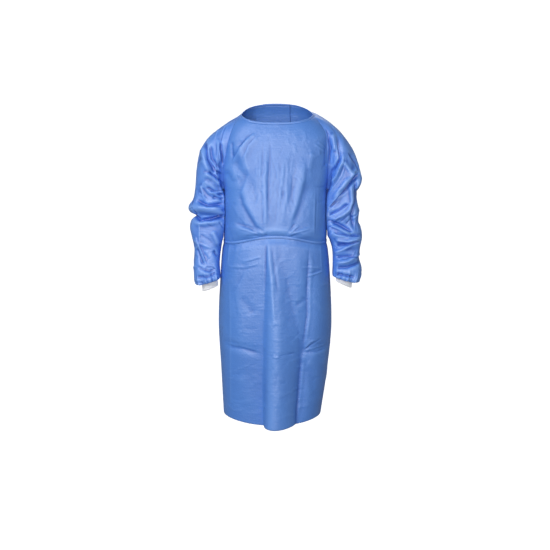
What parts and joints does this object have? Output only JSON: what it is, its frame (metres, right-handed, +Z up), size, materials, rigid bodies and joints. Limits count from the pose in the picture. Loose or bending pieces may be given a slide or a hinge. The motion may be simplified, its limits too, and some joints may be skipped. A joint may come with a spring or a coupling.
{
  "type": "surgical gown",
  "caption": "Worn surgical gown of thin nonwoven cloth with raglan sleeves, knitted cuffs, lapped open back and a tied waist tie; hollow, with no wearer.",
  "frame": {"origin": "middle of the neck opening, level with the points where the shoulders meet the neck", "axes": "+Z up along the worn gown, -Y out of the front, +X to the wearer's left"},
  "size_m": [0.637, 0.3449, 1.1759],
  "materials": {
    "gown_cloth": "smooth nonwoven with a fine emboss, satin",
    "gown_tie": "folded nonwoven tape, satin",
    "cuff_knit": "white ribbed knit, matte"
  },
  "bodies": {
    "root": {"front_panel": "gown_cloth", "back_panel_left": "gown_cloth", "back_panel_right": "gown_cloth", "sleeve_left": "gown_cloth", "sleeve_right": "gown_cloth", "cuff_left": "cuff_knit", "cuff_right": "cuff_knit", "neck_binding": "gown_tie", "neck_tab": "gown_tie", "waist_tie": "gown_tie", "waist_knot": "gown_tie", "tie_end_left": "gown_tie", "tie_end_right": "gown_tie"}
  },
  "joints": []
}
